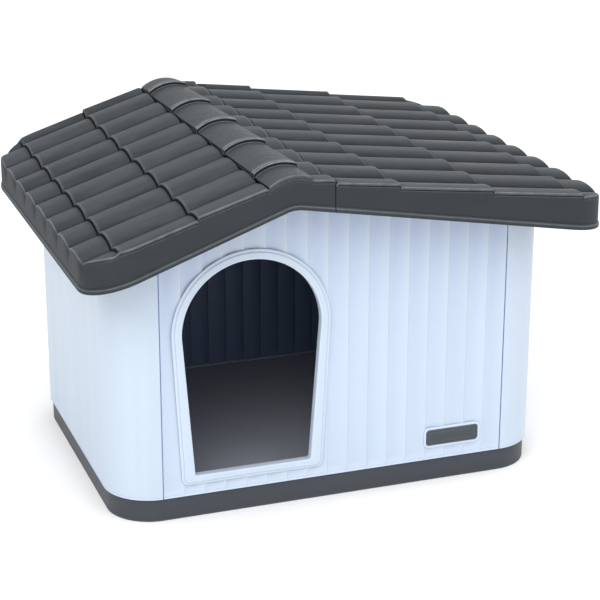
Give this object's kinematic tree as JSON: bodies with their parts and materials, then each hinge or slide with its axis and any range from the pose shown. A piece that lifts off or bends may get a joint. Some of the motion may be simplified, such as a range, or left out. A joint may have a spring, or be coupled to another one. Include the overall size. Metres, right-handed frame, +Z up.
{
  "type": "dog house",
  "caption": "Flat-pack plastic dog house with fluted panels, arched doorway and an uneven tiled gable roof whose long slope lifts as a lid.",
  "frame": {"origin": "on the ground, under the middle of the roof's outline", "axes": "+X along the front to the right hand of someone who faces the doorway, +Y from the doorway to the rear, +Z up"},
  "size_m": [1.1, 0.936, 0.7432],
  "materials": {
    "wall_plastic": "satin moulded, pale powder blue",
    "roof_plastic": "satin moulded with a fine grain, charcoal grey",
    "base_plastic": "satin moulded, slate grey",
    "plate_plastic": "satin moulded, blue grey",
    "steel": "zinc plated"
  },
  "bodies": {
    "house": {"base_tray": "base_plastic", "floor_panel": "base_plastic", "left_side_wall": "wall_plastic", "right_side_wall": "wall_plastic", "front_wall": "wall_plastic", "rear_wall": "wall_plastic", "door_surround": "wall_plastic", "name_plate": "plate_plastic", "roof_left_panel": "roof_plastic", "ridge_cap": "roof_plastic", "joining_strip_front_left": "base_plastic", "joining_strip_front_right": "base_plastic", "joining_strip_rear_left": "base_plastic", "joining_strip_rear_right": "base_plastic", "hinge_arm_front": "steel", "hinge_arm_rear": "steel", "hinge_screw_front_inner": "steel", "hinge_screw_front_outer": "steel", "hinge_screw_rear_inner": "steel", "hinge_screw_rear_outer": "steel", "base_screw_front_a": "steel", "base_screw_front_b": "steel", "base_screw_rear_a": "steel", "base_screw_rear_b": "steel", "base_screw_left_a": "steel", "base_screw_left_b": "steel", "base_screw_right_a": "steel", "base_screw_right_b": "steel", "strip_screw_front_left_lower": "steel", "strip_screw_front_left_upper": "steel", "strip_screw_front_right_lower": "steel", "strip_screw_front_right_upper": "steel", "strip_screw_rear_left_lower": "steel", "strip_screw_rear_left_upper": "steel", "strip_screw_rear_right_lower": "steel", "strip_screw_rear_right_upper": "steel", "roof_screw_front": "steel", "roof_screw_middle": "steel", "roof_screw_rear": "steel"},
    "lid": {"roof_lid": "roof_plastic", "hinge_pin_front": "steel", "hinge_pin_rear": "steel"}
  },
  "joints": [
    {"name": "lid_hinge", "type": "hinge", "parent": "house", "child": "lid", "pos_m": [-0.0492, 0, 0.70607], "axis": [0, -1, 0], "range_deg": [0, 100]}
  ]
}
